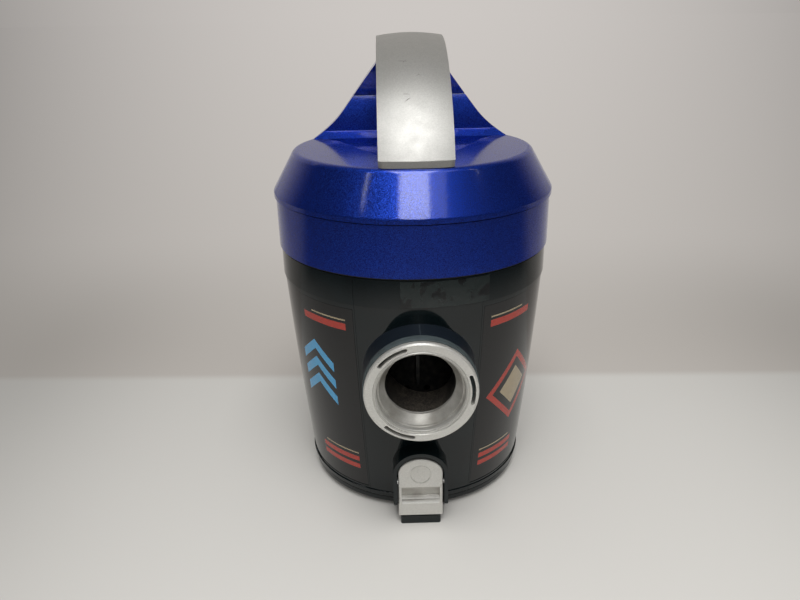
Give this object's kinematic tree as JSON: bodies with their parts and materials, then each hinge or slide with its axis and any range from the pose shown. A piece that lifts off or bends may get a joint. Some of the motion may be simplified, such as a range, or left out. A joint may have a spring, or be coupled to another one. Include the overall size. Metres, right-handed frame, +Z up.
{
  "type": "vacuum cleaner dust container",
  "caption": "Removable cyclone dust container: tapered cup with a hose inlet, push latch and hinged bottom flap, separator head, and a lid with an arched carrying handle.",
  "frame": {"origin": "on the cup's axis, at the underside of the bottom flap that the container stands on", "axes": "+Z up along the cup's axis, -Y to the front with the hose inlet and the latch, +X to the right seen from behind"},
  "size_m": [0.175, 0.1954, 0.287],
  "materials": {
    "cup_plastic": "glossy smoked dark grey",
    "blue_paint": "metallic blue pearl paint",
    "silver_paint": "satin silver paint",
    "label_film": "glossy dark printed film",
    "pale_rubber": "matte pale grey",
    "black_rubber": "matte black",
    "steel": "bright drawn",
    "black_plastic": "fine grained black",
    "filter_paper": "pleated fibre"
  },
  "bodies": {
    "cup": {"dust_cup": "cup_plastic", "cup_front": "cup_plastic", "label_left": "label_film", "label_right": "label_film", "inlet_gasket": "pale_rubber", "inlet_ring": "silver_paint", "inlet_tube": "black_plastic", "hinge_pin": "steel", "latch_pin": "steel", "latch_spring": "steel"},
    "latch": {"push_latch": "silver_paint"},
    "flap": {"bottom_flap": "cup_plastic", "flap_seal": "black_rubber", "centre_seal": "black_rubber"},
    "head": {"upper_band": "blue_paint", "cup_seal": "black_rubber", "filter_deck": "black_plastic", "outlet_grille": "black_plastic", "outlet_gasket": "black_rubber", "cone_cluster": "black_plastic", "vortex_plate": "black_plastic", "mesh_screen": "black_plastic", "inlet_vane": "black_plastic", "dust_skirt": "black_plastic", "dust_funnel": "black_plastic", "fine_dust_tube": "black_plastic", "filter_frame": "black_plastic", "filter_media": "filter_paper", "filter_seal": "black_rubber"},
    "lid": {"lid_cap": "blue_paint", "lid_seal": "black_rubber", "handle_shell": "blue_paint", "handle_trim": "silver_paint", "handle_screws": "steel"}
  },
  "joints": [
    {"name": "flap_hinge", "type": "hinge", "parent": "cup", "child": "flap", "pos_m": [0, 0.0795, 0.007], "axis": [1, 0, 0], "range_deg": [0, 95]},
    {"name": "latch_press", "type": "hinge", "parent": "cup", "child": "latch", "pos_m": [0, -0.08197, 0.028], "axis": [-1, 0, 0], "range_deg": [0, 8], "stiffness_Nm_per_rad": 0.3, "deforming": ["latch_spring"]},
    {"name": "head_lift", "type": "slide", "parent": "cup", "child": "head", "axis": [0, 0, 1], "range_m": [0, 0.165]},
    {"name": "lid_lift", "type": "slide", "parent": "head", "child": "lid", "axis": [0, 0, 1], "range_m": [0, 0.09]}
  ]
}
